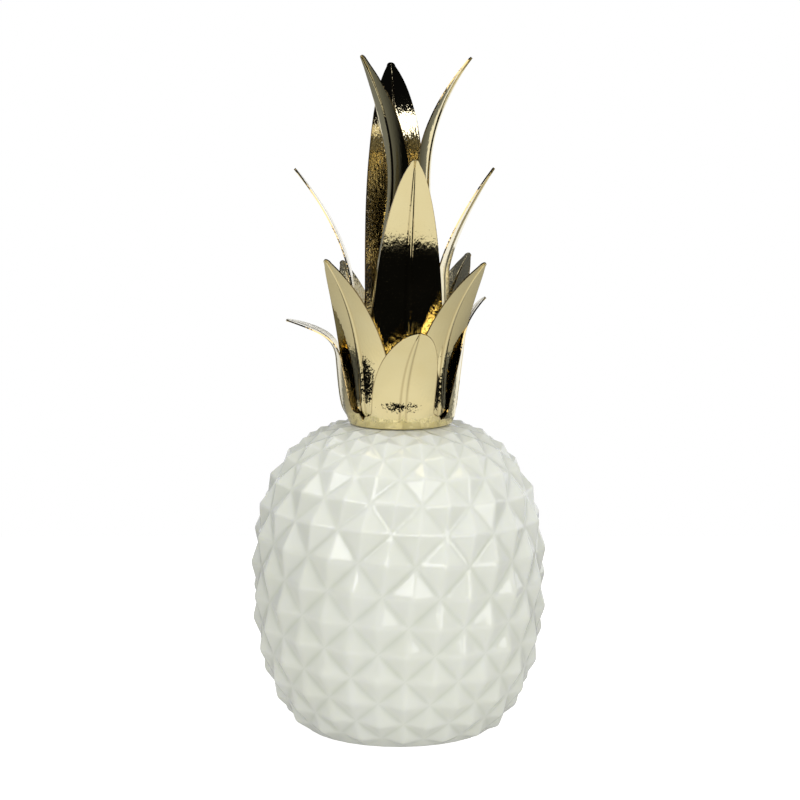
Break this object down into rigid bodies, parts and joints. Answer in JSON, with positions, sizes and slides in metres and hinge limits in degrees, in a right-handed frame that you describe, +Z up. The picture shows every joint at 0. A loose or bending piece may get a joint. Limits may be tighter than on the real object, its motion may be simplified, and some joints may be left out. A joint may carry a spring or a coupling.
{
  "type": "decorative pineapple",
  "caption": "Standing decorative pineapple: white glazed ceramic fruit with rows of diamond facets and a crown of pointed gold-plated sheet leaves.",
  "frame": {"origin": "centre of the fruit's flat underside, on the surface it stands on", "axes": "+Z up, from the underside to the leaf tips; -Y is the front that the picture shows; +X to the right seen from the front"},
  "size_m": [0.1343, 0.1344, 0.3066],
  "materials": {
    "glazed_ceramic": "glossy white glaze with a faint green-grey cast",
    "gold_plated_sheet": "pale gold mirror plating on stamped sheet metal, with a fine hammered texture low on the leaves"
  },
  "bodies": {
    "root": {"fruit_body": "glazed_ceramic", "crown_tier_1_outer": "gold_plated_sheet", "crown_tier_2_lower_middle": "gold_plated_sheet", "crown_tier_3_upper_middle": "gold_plated_sheet", "crown_tier_4_inner": "gold_plated_sheet"}
  },
  "joints": []
}
